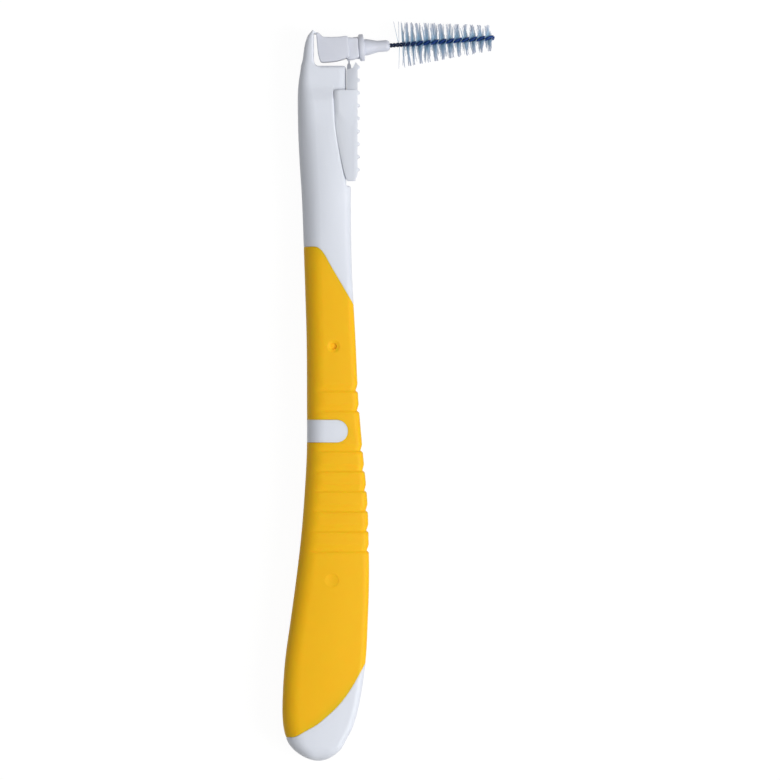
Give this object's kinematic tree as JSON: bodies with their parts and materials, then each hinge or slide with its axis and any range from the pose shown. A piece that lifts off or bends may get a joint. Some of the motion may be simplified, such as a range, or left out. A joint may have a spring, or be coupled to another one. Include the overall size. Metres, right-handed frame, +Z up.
{
  "type": "interdental brush",
  "caption": "Interdental brush with a stepped two-colour grip and a thumb slider that tilts its small twisted-wire brush head from square to straight.",
  "frame": {"origin": "middle of the grip's flat side that the brush lies on", "axes": "+Y up the handle to the head, +X the side the tilted brush points to, +Z up from the surface it lies on, across the handle's thickness"},
  "size_m": [0.0265, 0.0923, 0.0074],
  "materials": {
    "white_moulding": "smooth satin polypropylene",
    "film_hinge": "thin flexed polypropylene",
    "grip_plastic": "soft satin overmould",
    "coated_wire": "dark blue coating",
    "nylon_filament": "fine pale blue-grey nylon"
  },
  "bodies": {
    "handle": {"handle_core": "white_moulding", "grip_overmould": "grip_plastic"},
    "holder": {"brush_holder": "white_moulding", "twisted_wire": "coated_wire", "bristles": "nylon_filament", "tip_film_hinge": "film_hinge"},
    "strap": {"link_strap": "white_moulding", "strap_film_hinge": "film_hinge"},
    "slider": {"thumb_slider": "white_moulding", "foot_film_hinge": "film_hinge"}
  },
  "joints": [
    {"name": "holder_tilt", "type": "hinge", "parent": "handle", "child": "holder", "pos_m": [-0.00263, 0.05836, 0.0037], "axis": [0, 0, 1], "range_deg": [0, 85.7], "deforming": ["tip_film_hinge"]},
    {"name": "strap_swing", "type": "hinge", "parent": "holder", "child": "strap", "pos_m": [0.00163, 0.05477, 0.0037], "axis": [0, 0, 1], "range_deg": [-80.52, 0], "deforming": ["strap_film_hinge"]},
    {"name": "slider_travel", "type": "slide", "parent": "handle", "child": "slider", "axis": [0, 1, 0], "range_m": [0, 0.00759], "deforming": ["foot_film_hinge"]}
  ],
  "couplings": [
    {"joint": "holder_tilt", "follows": "slider_travel", "rad_per_m": 197.14},
    {"joint": "strap_swing", "follows": "slider_travel", "rad_per_m": -185.22}
  ]
}
